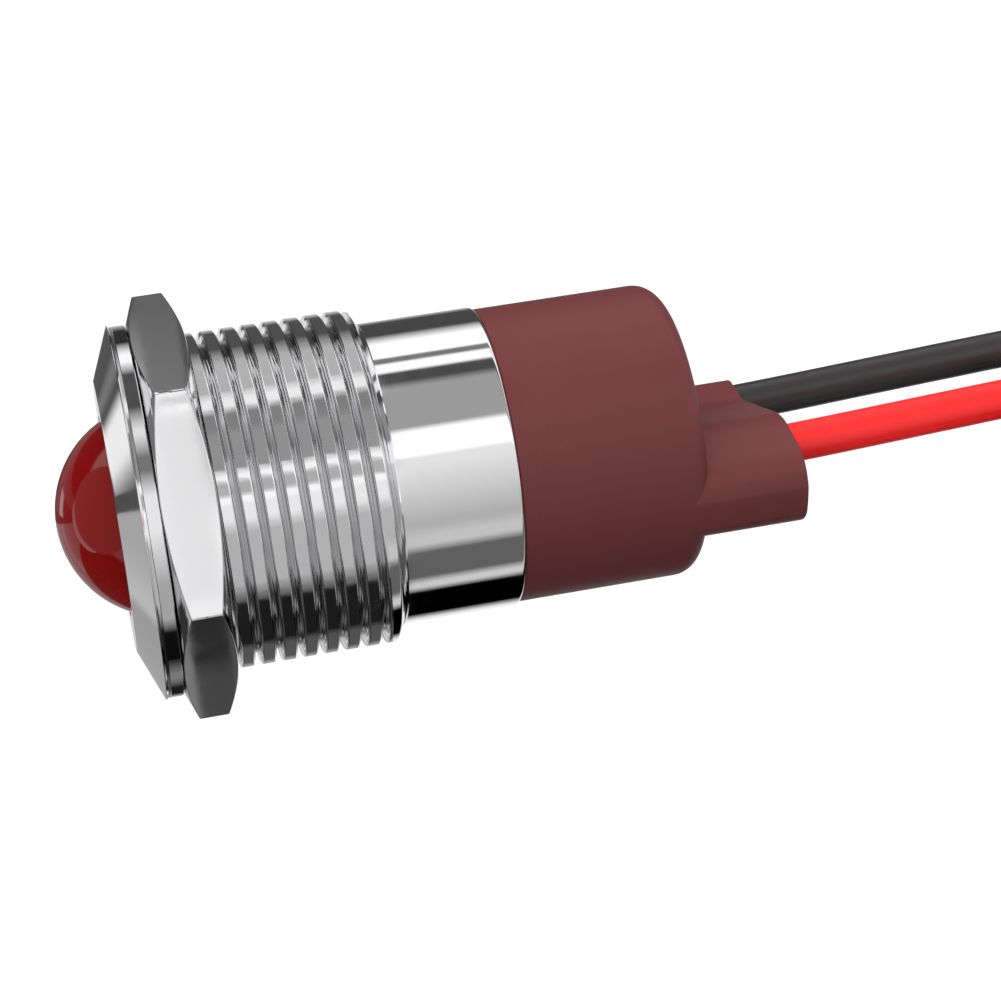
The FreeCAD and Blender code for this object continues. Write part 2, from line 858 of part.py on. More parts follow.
# Coil tie: one flat band round both coils, on the side that faces the light.
coil_tie = new_body("coil_tie")
MIDDLE = "(black_coil_height + red_coil_height) / 2 - coil_radius"
band = new_sketch(coil_tie, "tie_band", "XY_Plane", f"{MIDDLE} - tie_width / 2")
NEAR_X = "red_side + coil_turns * coil_pitch + lead_radius + tie_gap"
FAR_X = "black_side - lead_radius - tie_gap"
FRONT_Y = "coil_station - coil_radius - lead_radius - tie_gap"
BACK_Y = "coil_station - coil_radius + lead_radius + tie_slack"
for wall in ("0", "tie_wall"):
    draw_outline(
        band,
        [
            (f"{FAR_X} - {wall}", f"{FRONT_Y} - {wall}"),
            (f"{NEAR_X} + {wall}", f"{FRONT_Y} - {wall}"),
            (f"{NEAR_X} + {wall}", f"{BACK_Y} + {wall}"),
            (f"{FAR_X} - {wall}", f"{BACK_Y} + {wall}"),
        ],
    )
grow(coil_tie, "tie_loop", band, "tie_width", False)

NODES = [
    housing,
    lens,
    lens_seal,
    panel_washer,
    panel_nut,
    lamp,
    lamp_holder,
    *legs,
    insulating_sleeve,
    circuit_board,
    series_resistor,
    resistor_front_leg,
    resistor_rear_leg,
    reverse_diode,
    black_wire,
    red_wire,
    solder_joints,
    potting_plug,
    rear_boot,
    black_lead,
    red_lead,
    black_lead_coil,
    red_lead_coil,
    black_lead_end,
    red_lead_end,
    black_lead_tip,
    red_lead_tip,
    coil_tie,
]

doc.recompute()
failed = [one.Name for one in doc.Objects if "Invalid" in one.State or "Error" in one.State]
if failed:
    raise RuntimeError(f"failed objects: {failed}")
for node in NODES:
    if node.Shape.isNull() or not node.Shape.isValid() or not node.Shape.Solids:
        raise RuntimeError(f"bad shape: {node.Label}")
for node in NODES:
    node.Shape.exportStep(f"parts/{node.Label}.step")
print("wrote", len(NODES), "nodes")
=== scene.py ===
"""Panel pilot light, dressed for its photograph."""

import math

import bpy
from mathutils import Matrix, Quaternion, Vector


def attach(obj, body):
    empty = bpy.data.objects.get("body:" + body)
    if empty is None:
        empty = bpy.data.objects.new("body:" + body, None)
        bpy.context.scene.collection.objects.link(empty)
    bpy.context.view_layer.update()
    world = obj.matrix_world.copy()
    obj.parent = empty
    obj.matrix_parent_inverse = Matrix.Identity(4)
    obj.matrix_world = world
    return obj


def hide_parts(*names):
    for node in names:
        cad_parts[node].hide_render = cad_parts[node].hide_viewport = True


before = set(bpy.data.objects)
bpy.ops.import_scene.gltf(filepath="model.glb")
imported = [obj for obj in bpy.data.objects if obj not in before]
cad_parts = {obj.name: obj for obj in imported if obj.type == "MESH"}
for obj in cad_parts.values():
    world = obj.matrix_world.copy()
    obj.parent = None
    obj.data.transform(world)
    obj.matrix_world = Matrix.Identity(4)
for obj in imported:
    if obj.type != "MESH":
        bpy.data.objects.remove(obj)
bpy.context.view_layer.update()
MM = 0.001

# Camera: it looks square at the light's side from a little in front, rolled about nine degrees,
# so that the light's axis rises to the right as it does in the photograph.
CAMERA_PLACE = (125.465, -3.323, 0.0)
CAMERA_AIM = (0.0, 17.05, -2.177)
CAMERA_ROLL = -9.119
FOCAL_LENGTH = 95.054
glass = bpy.data.cameras.new("photo_camera")
glass.sensor_width = 36
glass.lens = FOCAL_LENGTH
glass.clip_start = 0.005
camera = bpy.data.objects.new("photo_camera", glass)
bpy.context.scene.collection.objects.link(camera)
place, aim = [MM * Vector(spot) for spot in (CAMERA_PLACE, CAMERA_AIM)]
roll = Quaternion((0, 0, 1), math.radians(CAMERA_ROLL))
turn = (aim - place).to_track_quat("-Z", "Y") @ roll
camera.matrix_world = Matrix.LocRotScale(place, turn, None)
bpy.context.scene.camera = camera

# Leads: two stranded wires in soft extruded insulation, one black and one red. They leave the
# boot's spout side by side, and their spare length is wound on itself and held by a tie.
LEAD_SIZE = 1.9
COIL_RADIUS = 10.4
COIL_PITCH = 1.95
TURNS = 2.25
TURN_POINTS = 16
HANG = 19.07
BLACK_RUN = (
    (-3.0, 11.8, 0.53),
    (-3.0, 18.5, 0.53),
    (-5.6, 27.8, 0.53),
    (-5.5, 42.0, 1.17),
    (-5.6, 58.5, 1.83),
)
RED_RUN = ((2.5, 21.6, -1.82), (2.5, 27.8, -1.82), (2.6, 42.0, -1.18), (2.5, 58.5, -0.52))
NOISE_DETAIL = 4
NOISE_LOW = 0.35
NOISE_HIGH = 0.65


def new_finish(name, colour, roughness, **sockets):
    """A material whose shader holds one colour and roughness, and any other named sockets."""
    material = bpy.data.materials.new(name)
    material.use_nodes = True
    shader = material.node_tree.nodes["Principled BSDF"]
    shader.inputs["Base Color"].default_value = (*colour, 1)
    shader.inputs["Roughness"].default_value = roughness
    for socket, value in sockets.items():
        shader.inputs[socket.replace("_", " ")].default_value = value
    return material


def pattern(material, size, stretch=(1, 1, 1)):
    """Noise on the piece's own coordinates, whose patches are about size millimetres across."""
    nodes, links = material.node_tree.nodes, material.node_tree.links
    place = nodes.new("ShaderNodeTexCoord")
    turn = nodes.new("ShaderNodeMapping")
    turn.inputs["Scale"].default_value = [1 / s for s in stretch]
    noise = nodes.new("ShaderNodeTexNoise")
    noise.inputs["Scale"].default_value = 1 / (size * MM)
    noise.inputs["Detail"].default_value = NOISE_DETAIL
    links.new(place.outputs["Object"], turn.inputs["Vector"])
    links.new(turn.outputs["Vector"], noise.inputs["Vector"])
    return noise.outputs["Fac"]


def raise_grain(material, height, size, stretch=(1, 1, 1), strength=1.0):
    """A fine relief on the surface, height millimetres deep."""
    nodes, links = material.node_tree.nodes, material.node_tree.links
    bump = nodes.new("ShaderNodeBump")
    bump.inputs["Strength"].default_value = strength
    bump.inputs["Distance"].default_value = height * MM
    links.new(pattern(material, size, stretch), bump.inputs["Height"])
    links.new(bump.outputs["Normal"], nodes["Principled BSDF"].inputs["Normal"])


def vary_gloss(material, low, high, size, stretch=(1, 1, 1)):
    """Roughness that wanders between two values."""
    nodes, links = material.node_tree.nodes, material.node_tree.links
    spread = nodes.new("ShaderNodeMapRange")
    spread.inputs["From Min"].default_value = NOISE_LOW
    spread.inputs["From Max"].default_value = NOISE_HIGH
    spread.inputs["To Min"].default_value = low
    spread.inputs["To Max"].default_value = high
    links.new(pattern(material, size, stretch), spread.inputs["Value"])
    links.new(spread.outputs["Result"], nodes["Principled BSDF"].inputs["Roughness"])


def vary_colour(material, first, second, size, stretch=(1, 1, 1)):
    """A colour that wanders between two shades."""
    nodes, links = material.node_tree.nodes, material.node_tree.links
    blend = nodes.new("ShaderNodeMix")
    blend.data_type = "RGBA"
    blend.inputs["A"].default_value = (*first, 1)
    blend.inputs["B"].default_value = (*second, 1)
    links.new(pattern(material, size, stretch), blend.inputs["Factor"])
    links.new(blend.outputs["Result"], nodes["Principled BSDF"].inputs["Base Color"])


def paint(piece, material):
    """Gives a piece or a CAD node one material all over."""
    piece.data.materials.clear()
    piece.data.materials.append(material)


def lead(name, run, material):
    """One wire: its run out of the boot, its wound turns and its hanging end, as one curve."""
    x, coil_start, top = run[-1]
    middle = top - COIL_RADIUS
    points = list(run)
    for step in range(1, int(TURNS * TURN_POINTS) + 1):
        angle = 2 * math.pi * step / TURN_POINTS
        y = coil_start + COIL_RADIUS * math.sin(angle)
        z = middle + COIL_RADIUS * math.cos(angle)
        points.append((x + COIL_PITCH * step / TURN_POINTS, y, z))
    x, y, _ = points[-1]
    points += [(x, y, middle - 0.5 * HANG), (x, y, middle - HANG)]
    curve = bpy.data.curves.new(name, "CURVE")
    curve.dimensions = "3D"
    curve.bevel_depth = LEAD_SIZE / 2 * MM
    curve.bevel_resolution = 8
    curve.resolution_u = 12
    curve.use_fill_caps = True
    spline = curve.splines.new("NURBS")
    spline.points.add(len(points) - 1)
    for spot, point in zip(spline.points, points):
        spot.co = (*(MM * c for c in point), 1)
    spline.order_u = 3
    spline.use_endpoint_u = True
    piece = bpy.data.objects.new(name, curve)
    bpy.context.scene.collection.objects.link(piece)
    paint(piece, material)
    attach(piece, "light")
    return piece


black_insulation = new_finish("black_insulation", (0.018, 0.016, 0.017), 0.42)
vary_gloss(black_insulation, 0.34, 0.5, 1.5)
raise_grain(black_insulation, 0.012, 0.3, strength=0.5)
black_lead = lead("black_wire_lead", BLACK_RUN, black_insulation)
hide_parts("black_lead", "black_lead_coil", "black_lead_end")

red_insulation = new_finish("red_insulation", (0.68, 0.004, 0.004), 0.45, Specular_IOR_Level=0.35)
vary_gloss(red_insulation, 0.34, 0.5, 1.5)
raise_grain(red_insulation, 0.012, 0.3, strength=0.5)
red_lead = lead("red_wire_lead", RED_RUN, red_insulation)
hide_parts("red_lead", "red_lead_coil", "red_lead_end")

# Bare ends, wires and solder: the leads' stripped copper strands and the lamp's and resistor's
# legs are tinned, and bright domes of solder join them to the board's pads.
tinned_wire = new_finish("tinned_wire", (0.72, 0.72, 0.70), 0.3, Metallic=1.0)
raise_grain(tinned_wire, 0.03, 0.12, stretch=(1, 1, 14))
for node in (
    "black_lead_tip",
    "red_lead_tip",
    "lamp_anode_leg",
    "lamp_cathode_leg",
    "resistor_front_leg",
    "resistor_rear_leg",
):
    paint(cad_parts[node], tinned_wire)

solder = new_finish("bright_solder", (0.66, 0.67, 0.68), 0.22, Metallic=1.0)
vary_gloss(solder, 0.14, 0.38, 0.8)
raise_grain(solder, 0.02, 0.4)
paint(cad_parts["solder_joints"], solder)

inner_black = new_finish("inner_black_insulation", (0.02, 0.018, 0.018), 0.5)
vary_gloss(inner_black, 0.42, 0.6, 1.0)
paint(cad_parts["black_wire"], inner_black)
inner_red = new_finish("inner_red_insulation", (0.8, 0.03, 0.03), 0.5)
vary_gloss(inner_red, 0.42, 0.6, 1.0)
paint(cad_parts["red_wire"], inner_red)

# Coil tie: a band of soft black nylon, moulded flat and drawn round both coils where they touch.
# It keeps the leads' spare length together until the light is fitted.
tie_nylon = new_finish("tie_nylon", (0.03, 0.03, 0.032), 0.48)
vary_gloss(tie_nylon, 0.4, 0.58, 2.0)
raise_grain(tie_nylon, 0.02, 0.25)
paint(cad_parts["coil_tie"], tie_nylon)

# Housing: one turned brass piece with a dished bezel, a flange, a cut thread, a plain barrel and
# a bore. It is bright plated all over, so it mirrors the studio in long bands. Its outline goes
# from the bezel back along the outside and home through the bore, as (radius, station) points.
LATHE_STEPS = 240
GROOVE_STEPS = 120
TOUCHING = 2e-7
CREST_RADIUS = 8.0
THREAD_START = 0.81
THREAD_END = 10.86
THREAD_END_ROUND = 0.12
THREAD_PITCH = 1
THREAD_TURNS = 12
BARREL_RADIUS = 7.23
BARREL_END = 17.0
BARREL_ROUND = 0.2
SPIGOT_RADIUS = 6.4
SPIGOT_END = 24.0
BEZEL_FACE = (
    (4.77, -1.2),
    (6.45, -1.2),
    (6.52, -1.17),
    (6.6, -1.138),
    (8.8, -0.264),
    (8.88, -0.232),
)
BEZEL_RIM = ((8.9, -0.21), (8.9, -0.19), (8.83, -0.12), (8.82, 0.0))
CRESTS = ((7.3, 0.0), (7.3, 1.2), (7.96, 1.2), (CREST_RADIUS, 1.24), (CREST_RADIUS, THREAD_END))
BARREL_START = ((7.27, 11.36), (BARREL_RADIUS, 11.42))
BORE = (
    (SPIGOT_RADIUS, BARREL_END),
    (SPIGOT_RADIUS, SPIGOT_END),
    (5.8, SPIGOT_END),
    (5.8, 2.0),
    (5.2, 2.0),
    (5.2, -0.8),
    (4.77, -0.8),
    (4.77, -1.2),
)
GROOVE = (
    (0.262, 8.0035),
    (0.25, 7.9985),
    (0.225, 7.985),
    (0.198, 7.96),
    (0.175, 7.925),
    (0.157, 7.88),
    (0.142, 7.82),
    (0.125, 7.73),
    (0.107, 7.6),
    (0.08, 7.46),
)
GROOVE_ROOT = 7.4
CLEAR_OF_THREAD = 8.4


def new_piece(name):
    """A single point at the origin in edit mode, ready to be drawn out into an outline."""
    bpy.ops.object.select_all(action="DESELECT")
    bpy.ops.mesh.primitive_plane_add(size=MM, location=(0, 0, 0))
    piece = bpy.context.object
    piece.name = name
    bpy.ops.object.mode_set(mode="EDIT")
    bpy.ops.mesh.select_all(action="SELECT")
    bpy.ops.mesh.merge(type="CENTER")
    return piece


def draw_out(outline):
    """Draws the point out along an outline of (across, station, up) places in millimetres."""
    bpy.ops.transform.translate(value=[MM * c for c in outline[0]])
    for start, end in zip(outline, outline[1:]):
        step = [MM * (b - a) for a, b in zip(start, end)]
        bpy.ops.mesh.extrude_region_move(TRANSFORM_OT_translate={"value": step})
    bpy.ops.mesh.select_all(action="SELECT")


def close_up(piece):
    """Merges doubled points, turns the faces outwards and leaves edit mode."""
    bpy.ops.mesh.select_all(action="SELECT")
    bpy.ops.mesh.remove_doubles(threshold=TOUCHING)
    bpy.ops.mesh.normals_make_consistent(inside=False)
    bpy.ops.object.mode_set(mode="OBJECT")
    return piece


def lathe(name, outline):
    """A turned piece: a half outline of (radius, station) points spun about the light's axis."""
    piece = new_piece(name)
    draw_out([(0, station, radius) for radius, station in outline])
    bpy.ops.mesh.spin(steps=LATHE_STEPS, angle=2 * math.pi, center=(0, 0, 0), axis=(0, 1, 0))
    return close_up(piece)


def corner_arc(centre, radius, first, last, parts):
    """Points of a round corner about (radius, station), from one angle to another in degrees."""
    angles = [math.radians(first + (last - first) * n / parts) for n in range(parts + 1)]
    return [(centre[0] + radius * math.cos(a), centre[1] + radius * math.sin(a)) for a in angles]


def take_up(piece):
    """Makes a piece the only one selected, and the active one."""
    bpy.ops.object.select_all(action="DESELECT")
    piece.select_set(True)
    bpy.context.view_layer.objects.active = piece


def shape_with(piece, kind, **settings):
    """Adds a modifier to a piece and applies it."""
    take_up(piece)
    modifier = piece.modifiers.new(kind.title(), kind)
    for setting, value in settings.items():
        setattr(modifier, setting, value)
    bpy.ops.object.modifier_apply(modifier=modifier.name)


def carve(piece, tool, operation="DIFFERENCE"):
    """Cuts a piece with a tool, or joins or trims it with that, and removes the tool."""
    shape_with(piece, "BOOLEAN", object=tool, operation=operation, solver="EXACT")
    bpy.data.objects.remove(tool)


def ease_edges(piece, width, degrees):
    """Rounds the edges where faces meet at more than the angle, width millimetres to each side."""
    shape_with(
        piece,
        "BEVEL",
        width=width * MM,
        segments=3,
        limit_method="ANGLE",
        angle_limit=math.radians(degrees),
    )


def smooth(piece, degrees):
    """Smooth shading, with crisp edges where faces meet at more than the angle."""
    take_up(piece)
    bpy.ops.object.shade_smooth_by_angle(angle=math.radians(degrees))


thread_corner = (CREST_RADIUS - THREAD_END_ROUND, THREAD_END)
barrel_corner = (BARREL_RADIUS - BARREL_ROUND, BARREL_END - BARREL_ROUND)
body_outline = [*BEZEL_FACE, *BEZEL_RIM, *CRESTS]
body_outline += [*corner_arc(thread_corner, THREAD_END_ROUND, 0, 57, 3), *BARREL_START]
body_outline += [*corner_arc(barrel_corner, BARREL_ROUND, 0, 90, 6), *BORE]
housing = lathe("threaded_housing", body_outline)

# The thread's groove is a cutter of that section, wound round the axis and taken from the turned
# piece. Its (side, radius) points start just above the crest, and the crest between two turns
# stays flat.
section = [(-side, radius) for side, radius in GROOVE] + [(0, GROOVE_ROOT)]
section += [(side, radius) for side, radius in reversed(GROOVE)]
section += [(GROOVE[0][0], CLEAR_OF_THREAD), (-GROOVE[0][0], CLEAR_OF_THREAD)]
section += section[:1]
groove = new_piece("thread_groove")
draw_out([(0, THREAD_START + station, radius) for station, radius in section])
bpy.ops.mesh.remove_doubles(threshold=TOUCHING)
bpy.ops.object.mode_set(mode="OBJECT")
shape_with(
    groove,
    "SCREW",
    axis="Y",
    screw_offset=THREAD_PITCH * MM,
    iterations=THREAD_TURNS,
    steps=GROOVE_STEPS,
    render_steps=GROOVE_STEPS,
)
bpy.ops.object.mode_set(mode="EDIT")
bpy.ops.mesh.select_all(action="SELECT")
bpy.ops.mesh.fill_holes(sides=0)
close_up(groove)
carve(housing, groove)
smooth(housing, 20)
shape_with(housing, "WEIGHTED_NORMAL", weight=100, keep_sharp=True)
bright_plate = new_finish("bright_plate", (0.72, 0.72, 0.73), 0.05, Metallic=1.0)
vary_gloss(bright_plate, 0.035, 0.075, 3, stretch=(4, 0.4, 4))
raise_grain(bright_plate, 0.003, 0.25, stretch=(30, 1, 30), strength=0.1)
paint(housing, bright_plate)
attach(housing, "light")
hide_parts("housing")

# Washer: a thin ring, turned and plated like the housing, that sits between flange and nut. Its
# edges are just broken.
washer = lathe(
    "thin_washer",
    [(8.1, 0.02), (8.81, 0.02), (8.82, 0.03), (8.82, 0.58), (8.78, 0.62), (8.1, 0.62), (8.1, 0.02)],
)
smooth(washer, 30)
ring_plate = new_finish("ring_plate", (0.68, 0.68, 0.69), 0.04, Metallic=1.0)
vary_gloss(ring_plate, 0.03, 0.06, 2)
raise_grain(ring_plate, 0.003, 0.2, stretch=(20, 1, 20), strength=0.2)
paint(washer, ring_plate)
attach(washer, "washer")
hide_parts("panel_washer")

# Nut: a thin hexagon sawn from bar, turned to a bevel on both faces and tapped through. Its
# corners are eased and it is plated like the housing.
ACROSS_FLATS = 17.5
HEX_CORNER_RADIUS = ACROSS_FLATS / 2 / math.cos(math.radians(30))
NUT_MIDDLE = 1.915
BLANK_THICKNESS = 4
CORNER_EASE = 0.08
EDGE_EASE = 0.045
NUT_TURNING = (
    (8.46, 0.64),
    (8.65, 0.64),
    (10.07, 1.21),
    (10.07, 2.62),
    (8.65, 3.19),
    (8.46, 3.19),
    (8.06, 2.79),
    (8.06, 1.04),
    (8.46, 0.64),
)
bpy.ops.object.select_all(action="DESELECT")
bpy.ops.mesh.primitive_cylinder_add(
    vertices=6,
    radius=HEX_CORNER_RADIUS * MM,
    depth=BLANK_THICKNESS * MM,
    location=(0, NUT_MIDDLE * MM, 0),
    rotation=(math.pi / 2, 0, 0),
)
nut = bpy.context.object
nut.name = "hexagon_nut"
bpy.ops.object.transform_apply(location=True, rotation=True, scale=True)
bpy.ops.object.mode_set(mode="EDIT")
bpy.ops.mesh.select_all(action="DESELECT")
bpy.ops.object.mode_set(mode="OBJECT")
for edge in nut.data.edges:
    ends = [nut.data.vertices[v].co for v in edge.vertices]
    edge.select = abs(ends[0].y - ends[1].y) > MM
bpy.ops.object.mode_set(mode="EDIT")
bpy.ops.mesh.bevel(offset=CORNER_EASE * MM, segments=3)
bpy.ops.object.mode_set(mode="OBJECT")
carve(nut, lathe("nut_turning", NUT_TURNING), "INTERSECT")
ease_edges(nut, EDGE_EASE, 28)
smooth(nut, 20)
shape_with(nut, "WEIGHTED_NORMAL", weight=100, keep_sharp=True)
nut_plate = new_finish("nut_plate", (0.7, 0.7, 0.71), 0.05, Metallic=1.0)
vary_gloss(nut_plate, 0.035, 0.07, 1.5)
raise_grain(nut_plate, 0.002, 0.5, strength=0.25)
paint(nut, nut_plate)
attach(nut, "nut")
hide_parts("panel_nut")

# Lens: a hollow dome moulded in clear red plastic. Its skirt is gripped between the bezel's lip
# and the seal behind it, and the lamp shows through it as a paler core.
DOME_CENTRE = (0, 1.15)
DOME_OUTSIDE = 5.1
DOME_INSIDE = 4.1
LENS_SKIRT = ((DOME_OUTSIDE, 2.0), (5.7, 2.0), (5.7, 3.0), (DOME_INSIDE, 3.0))
dome_outline = [*corner_arc(DOME_CENTRE, DOME_OUTSIDE, -90, 0, 40), *LENS_SKIRT]
dome_outline += corner_arc(DOME_CENTRE, DOME_INSIDE, 0, -90, 32)
lens = lathe("dome_lens", dome_outline)
smooth(lens, 40)
clear_red = new_finish("clear_red", (0.19, 0.001, 0.0012), 0.06, IOR=1.49, Transmission_Weight=0.3)
vary_gloss(clear_red, 0.04, 0.08, 4)
raise_grain(clear_red, 0.004, 0.8, strength=0.2)
paint(lens, clear_red)
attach(lens, "light")
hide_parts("lens")

# Lamp and its seat: a red resin lamp in a black moulded holder, sealed to the lens by a soft
# black ring.
lamp_resin = new_finish("lamp_resin", (0.75, 0.06, 0.05), 0.12, IOR=1.54, Transmission_Weight=0.4)
vary_gloss(lamp_resin, 0.08, 0.2, 1.5)
paint(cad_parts["lamp"], lamp_resin)
black_moulding = new_finish("black_moulding", (0.02, 0.02, 0.021), 0.45)
vary_gloss(black_moulding, 0.38, 0.55, 1.2)
raise_grain(black_moulding, 0.02, 0.2)
paint(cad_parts["lamp_holder"], black_moulding)
seal_rubber = new_finish("seal_rubber", (0.012, 0.012, 0.013), 0.6)
vary_gloss(seal_rubber, 0.5, 0.7, 0.9)
raise_grain(seal_rubber, 0.02, 0.15)
paint(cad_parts["lens_seal"], seal_rubber)

# Board and its parts: a green glass laminate disc carries a coated resistor and a moulded diode
# block. A fibre sleeve keeps them off the bore, and cast resin closes the rear.
laminate = new_finish("green_laminate", (0.03, 0.16, 0.06), 0.4)
vary_colour(laminate, (0.02, 0.13, 0.05), (0.05, 0.2, 0.08), 1.2, stretch=(3, 1, 0.5))
raise_grain(laminate, 0.01, 0.3)
paint(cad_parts["circuit_board"], laminate)
resistor_coat = new_finish("resistor_coat", (0.52, 0.38, 0.22), 0.35)
vary_colour(resistor_coat, (0.48, 0.35, 0.2), (0.58, 0.43, 0.27), 0.9)
raise_grain(resistor_coat, 0.02, 0.4)
paint(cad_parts["series_resistor"], resistor_coat)
paint(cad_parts["reverse_diode"], black_moulding)
fibre_sleeve = new_finish("fibre_sleeve", (0.42, 0.36, 0.24), 0.7)
vary_colour(fibre_sleeve, (0.36, 0.3, 0.2), (0.5, 0.44, 0.3), 1.0, stretch=(1, 4, 1))
raise_grain(fibre_sleeve, 0.03, 0.2, stretch=(1, 4, 1))
paint(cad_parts["insulating_sleeve"], fibre_sleeve)
cast_resin = new_finish("cast_resin", (0.02, 0.019, 0.018), 0.3)
vary_gloss(cast_resin, 0.2, 0.45, 2.5)
raise_grain(cast_resin, 0.05, 1.5)
paint(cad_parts["potting_plug"], cast_resin)

# Rear boot: one maroon sleeve shrunk over the housing's spigot. Its wall ends flush with the
# barrel, and behind it is flattened into a spout that grips the leads. The spout's outline is in
# (across, up, corner radius) points.
BOOT_RADIUS = 7.1
BOOT_END = 26.0
BOOT_ROUND = 1.2
BOOT_OUTER = ((SPIGOT_RADIUS, BARREL_END), (7.06, BARREL_END), (BOOT_RADIUS, 17.04))
BOOT_INNER = (
    (0, BOOT_END),
    (0, SPIGOT_END),
    (SPIGOT_RADIUS, SPIGOT_END),
    (SPIGOT_RADIUS, BARREL_END),
)
SPOUT = (
    (-6.87, 1.92, 0.95),
    (-5.35, 1.92, 0.95),
    (-3.4, 0.8, 2.0),
    (3.5, -0.22, 4.4),
    (6.1, -2.35, 1.6),
    (6.1, -5.32, 2.2),
    (1.0, -5.32, 1.6),
    (-6.87, -0.74, 0.95),
)
SPOUT_START = 24.9
SPOUT_END = 30.6
SPOUT_EDGE = 0.12
SPOUT_LIMIT = BOOT_RADIUS - 0.005
TRIM_START = 23
TRIM_END = 33
CORNER_PARTS = 10
LEAD_EXITS = ((-5.6, 0.66), (2.5, -1.69))
LEAD_HOLE = 0.97
LEAD_HOLE_MIDDLE = 30
LEAD_HOLE_DEPTH = 6


def rounded_outline(corners):
    """The (across, up) points of a closed outline with rounded (across, up, radius) corners."""
    points = []
    earlier, later = corners[-1:] + corners[:-1], corners[1:] + corners[:1]
    for before, corner, after in zip(earlier, corners, later):
        x, z, radius = corner
        into = math.atan2(z - before[1], x - before[0])
        out = math.atan2(after[1] - z, after[0] - x)
        turn = (out - into + math.pi) % (2 * math.pi) - math.pi
        setback = radius * math.tan(abs(turn) / 2)
        side = 1 if turn > 0 else -1
        middle_x = x - setback * math.cos(into) - side * radius * math.sin(into)
        middle_z = z - setback * math.sin(into) + side * radius * math.cos(into)
        for n in range(CORNER_PARTS + 1):
            angle = into - side * math.pi / 2 + turn * n / CORNER_PARTS
            across, up = radius * math.cos(angle), radius * math.sin(angle)
            points.append((middle_x + across, middle_z + up))
    return points


boot_corner = (BOOT_RADIUS - BOOT_ROUND, BOOT_END - BOOT_ROUND)
boot_outline = [*BOOT_OUTER, *corner_arc(boot_corner, BOOT_ROUND, 0, 90, 16), *BOOT_INNER]
boot = lathe("maroon_boot", boot_outline)
spout = new_piece("boot_spout")
draw_out([(x, SPOUT_START, z) for x, z in rounded_outline(SPOUT)])
bpy.ops.mesh.edge_face_add()
length = (SPOUT_END - SPOUT_START) * MM
bpy.ops.mesh.extrude_region_move(TRANSFORM_OT_translate={"value": (0, length, 0)})
close_up(spout)
slug = [(0, TRIM_START), (SPOUT_LIMIT, TRIM_START), (SPOUT_LIMIT, TRIM_END), (0, TRIM_END)]
carve(spout, lathe("spout_slug", slug), "INTERSECT")
ease_edges(spout, SPOUT_EDGE, 18)
carve(boot, spout, "UNION")
for x, z in LEAD_EXITS:
    bpy.ops.object.select_all(action="DESELECT")
    bpy.ops.mesh.primitive_cylinder_add(
        vertices=48,
        radius=LEAD_HOLE * MM,
        depth=LEAD_HOLE_DEPTH * MM,
        location=(x * MM, LEAD_HOLE_MIDDLE * MM, z * MM),
        rotation=(math.pi / 2, 0, 0),
    )
    hole = bpy.context.object
    bpy.ops.object.transform_apply(location=True, rotation=True, scale=True)
    carve(boot, hole)
smooth(boot, 17)
maroon = new_finish("maroon_rubber", (0.098, 0.018, 0.019), 0.5, Specular_IOR_Level=0.25)
vary_colour(maroon, (0.091, 0.0165, 0.0175), (0.105, 0.02, 0.021), 3.0)
raise_grain(maroon, 0.012, 0.14, strength=0.6)
paint(boot, maroon)
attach(boot, "light")
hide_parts("rear_boot")

# Studio: a pale floor, a white surround, a soft key light above, a round window in front for the
# dome's core and a dark card under the boot. Only the plating mirrors the tube of strips round it,
# where a strip goes from angle to angle in degrees, and a ring from station to station.
FLOOR_HEIGHT = -110
SURROUND = 1.15
TUBE_RADIUS = 100
TUBE_STEPS = 1440
TUBE_ROWS = (-220, -8, -7.9, 4.6, 4.7, 7.8, 7.9, 22.5, 22.6, 280)
BARREL_ZONE = 22.55
THREAD_ZONE = 7.85
NUT_ZONE = 4.65
WASHER_ZONE = -7.95
BARREL_STRIPS = (
    (-180, -153, 0.96),
    (-138, -103, 0.0),
    (-97, -93, 0.8),
    (-86, -64, 0.16),
    (-57, -51, 0.74),
    (-43, -39, 0.59),
    (3, 7, 1.06),
    (9.5, 26, 1.5),
    (30, 61, 0.45),
    (67, 75, 0.09),
    (77.5, 84.5, 1.4),
    (86.5, 90.5, 0.24),
    (92.5, 108, 1.5),
    (122, 150, 0.08),
    (172, 180, 0.9),
)
THREAD_STRIPS = (
    (-180, -168, 0.6),
    (-163, -158, 0.38),
    (-146, -119, 0.11),
    (-112, -74, 0.015),
    (-57, -23, 0.6),
    (-14, -5, 1.12),
    (-3, -1, 1.28),
    (2.5, 8.5, 0.57),
    (11.5, 14, 1.25),
    (18.5, 40, 0.38),
    (46, 55, 0.29),
    (61, 66, 1.15),
    (73, 98, 0.6),
    (116, 146, 0.1),
    (158, 162, 0.6),
    (168, 180, 1.08),
)
WASHER_STRIPS = (
    (-180, -165, 0.65),
    (-150, -135, 0.015),
    (-121, -115, 0.27),
    (-99, -76, 0.005),
    (-66, -44, 0.53),
    (-12, 8, 1.15),
    (23, 31, 0.25),
    (45, 48, 1.08),
    (63, 88, 0.105),
    (100, 107, 1.4),
    (122, 143, 0.04),
    (168, 180, 0.8),
)
NUT_STRIPS = (
    (-180, -160, 0.4),
    (-140, -119.3, 0.08),
    (-118.5, -100, 0.031),
    (-20, -5.75, 0.4),
    (-5.5, -4.5, 1.24),
    (-4.2, 4.15, 1.09),
    (4.3, 4.55, 1.42),
    (4.7, 4.8, 0.5),
    (4.95, 5.75, 1.4),
    (6.5, 70, 0.3),
    (100, 116.5, 0.24),
    (121, 135, 0.17),
    (160, 180, 0.35),
)
FRONT_STRIPS = (
    (-180, -72, 0.06),
    (-66, 50, 0.7),
    (56, 98, 1.25),
    (104, 145, 0.06),
)
